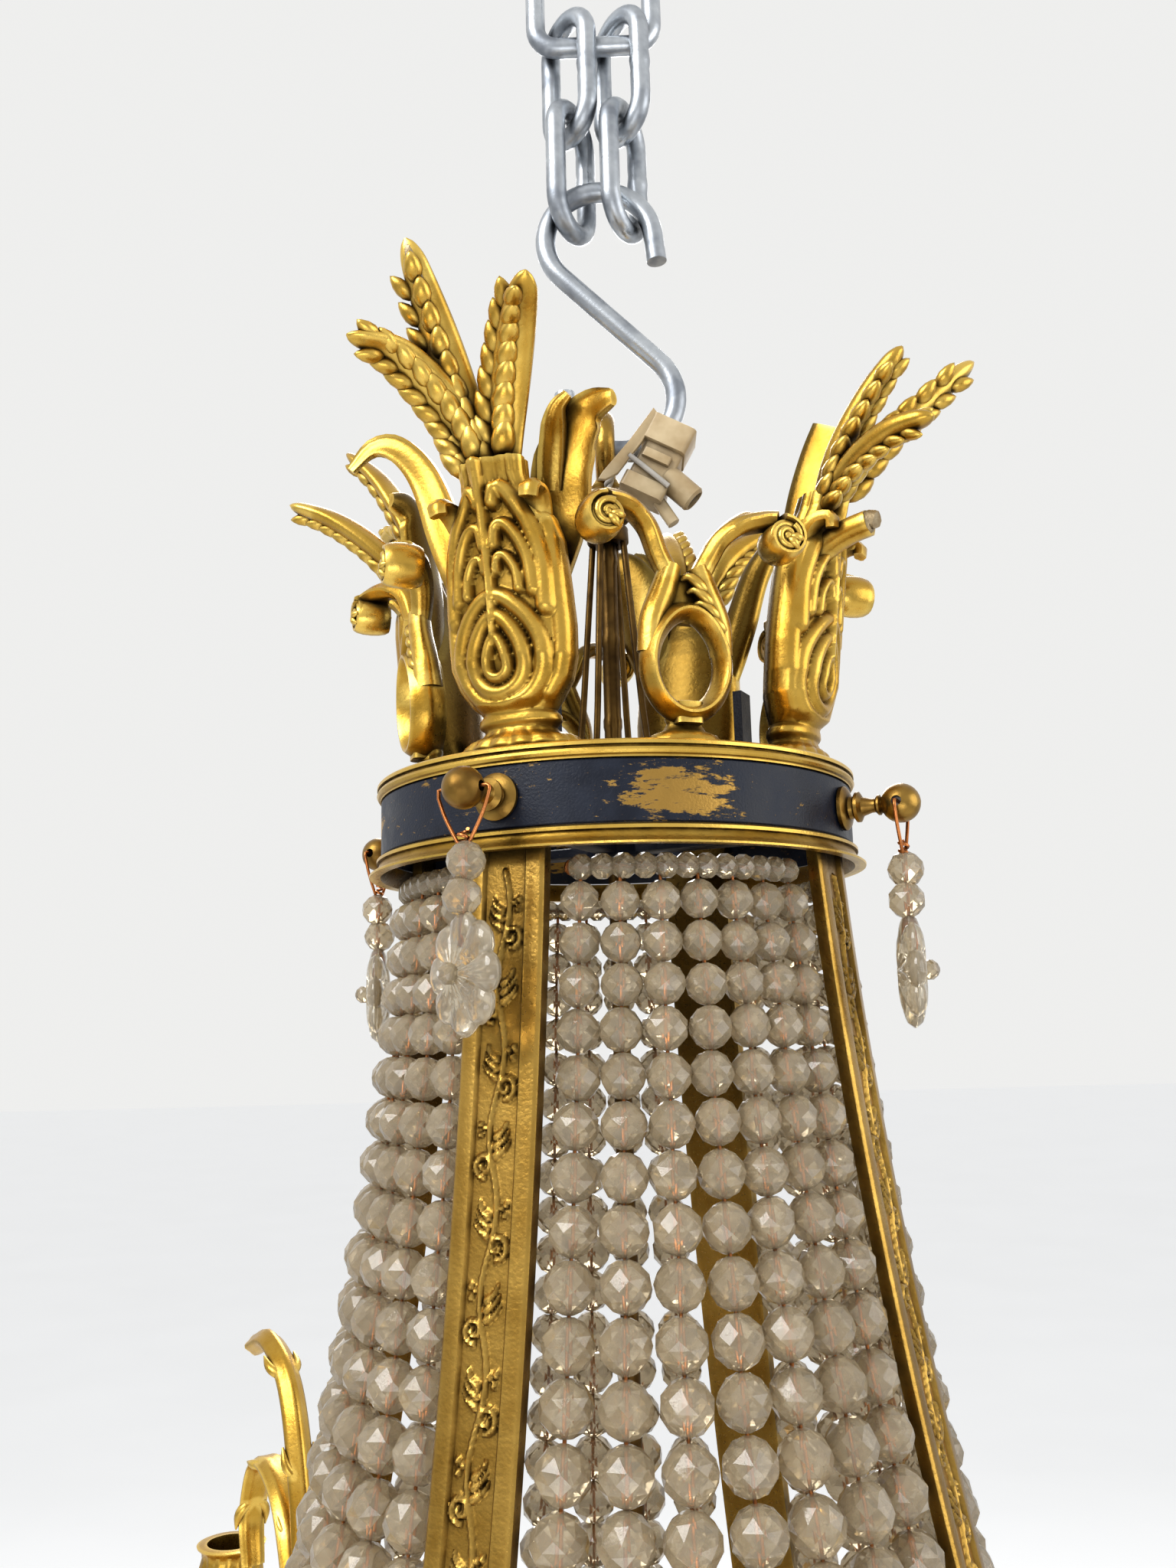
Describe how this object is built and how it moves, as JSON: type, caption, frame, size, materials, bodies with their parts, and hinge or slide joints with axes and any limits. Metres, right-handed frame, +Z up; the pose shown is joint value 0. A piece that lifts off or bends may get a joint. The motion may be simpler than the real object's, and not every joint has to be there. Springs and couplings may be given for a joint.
{
  "type": "chandelier",
  "caption": "Hanging crown chandelier: painted ring with leaf ornaments, curved staves, bead curtains that widen to a lower ring, candle arms, and a hook and doubled chain above.",
  "frame": {"origin": "inner crown of the top link, where the ceiling hook bears", "axes": "+Z up along the stem, -Y towards the front stave, +X to the right-hand stave"},
  "size_m": [0.5674, 0.648, 0.6752],
  "materials": {
    "gilt": "fire-gilt bronze, bright on the high parts and brown in the hollows",
    "navy_paint": "dark blue paint, rubbed through to the gilding in patches",
    "chain": "bright zinc-plated wire",
    "glass": "smoky clear cut glass",
    "ivory": "aged ivory moulding",
    "lead": "greyed insulation"
  },
  "bodies": {
    "top": {"top_link": "chain"},
    "upper_links": {"chain_link_upper_left": "chain", "chain_link_upper_right": "chain"},
    "lower_links": {"chain_link_lower_left": "chain", "chain_link_lower_right": "chain"},
    "hook": {"s_hook": "chain"},
    "frame": {"suspension_eye": "gilt", "central_stem": "gilt", "terminal_block": "ivory", "lead": "lead", "crown_band": "navy_paint", "crown_border_top": "gilt", "crown_border_bottom": "gilt", "crown_cross": "navy_paint", "lower_band": "navy_paint", "lower_border_top": "gilt", "lower_border_bottom": "gilt", "lower_cross": "navy_paint", "bead_sac": "glass", "finial": "gilt", "palmette_front": "gilt", "palmette_right": "gilt", "palmette_back": "gilt", "palmette_left": "gilt", "scroll_loop_front": "gilt", "scroll_loop_right": "gilt", "scroll_loop_back": "gilt", "scroll_loop_left": "gilt", "stave_front": "gilt", "stave_right": "gilt", "stave_back": "gilt", "stave_left": "gilt", "stud_front": "gilt", "stud_right": "gilt", "stud_back": "gilt", "stud_left": "gilt", "bead_curtain_front": "glass", "bead_curtain_right": "glass", "bead_curtain_back": "glass", "bead_curtain_left": "glass", "arm_1": "gilt", "arm_2": "gilt", "arm_3": "gilt", "arm_4": "gilt", "arm_5": "gilt", "arm_6": "gilt", "candle_cup_1": "gilt", "candle_cup_2": "gilt", "candle_cup_3": "gilt", "candle_cup_4": "gilt", "candle_cup_5": "gilt", "candle_cup_6": "gilt"},
    "pendant_front": {"pendant_front": "glass"},
    "pendant_right": {"pendant_right": "glass"},
    "pendant_back": {"pendant_back": "glass"},
    "pendant_left": {"pendant_left": "glass"}
  },
  "joints": [
    {"name": "upper_links_swing", "type": "hinge", "parent": "top", "child": "upper_links", "pos_m": [0, 0, -0.037], "axis": [0.9063, 0.4226, 0], "range_deg": [-6, 6]},
    {"name": "lower_links_swing", "type": "hinge", "parent": "upper_links", "child": "lower_links", "pos_m": [0, 0, -0.0679], "axis": [-0.4226, 0.9063, 0], "range_deg": [-6, 6]},
    {"name": "hook_swing", "type": "hinge", "parent": "lower_links", "child": "hook", "pos_m": [0, 0, -0.0998], "axis": [0.9063, 0.4226, 0], "range_deg": [-6, 6]},
    {"name": "frame_swing", "type": "hinge", "parent": "hook", "child": "frame", "pos_m": [0, 0, -0.16225], "axis": [-0.4226, 0.9063, 0], "range_deg": [-8, 8]},
    {"name": "pendant_front_swing", "type": "hinge", "parent": "frame", "child": "pendant_front", "pos_m": [0, -0.0796, -0.28255], "axis": [-1, 0, 0], "range_deg": [-3, 30]},
    {"name": "pendant_right_swing", "type": "hinge", "parent": "frame", "child": "pendant_right", "pos_m": [0.0796, 0, -0.28255], "axis": [0, -1, 0], "range_deg": [-3, 30]},
    {"name": "pendant_back_swing", "type": "hinge", "parent": "frame", "child": "pendant_back", "pos_m": [0, 0.0796, -0.28255], "axis": [1, 0, 0], "range_deg": [-3, 30]},
    {"name": "pendant_left_swing", "type": "hinge", "parent": "frame", "child": "pendant_left", "pos_m": [-0.0796, 0, -0.28255], "axis": [0, 1, 0], "range_deg": [-3, 30]}
  ]
}
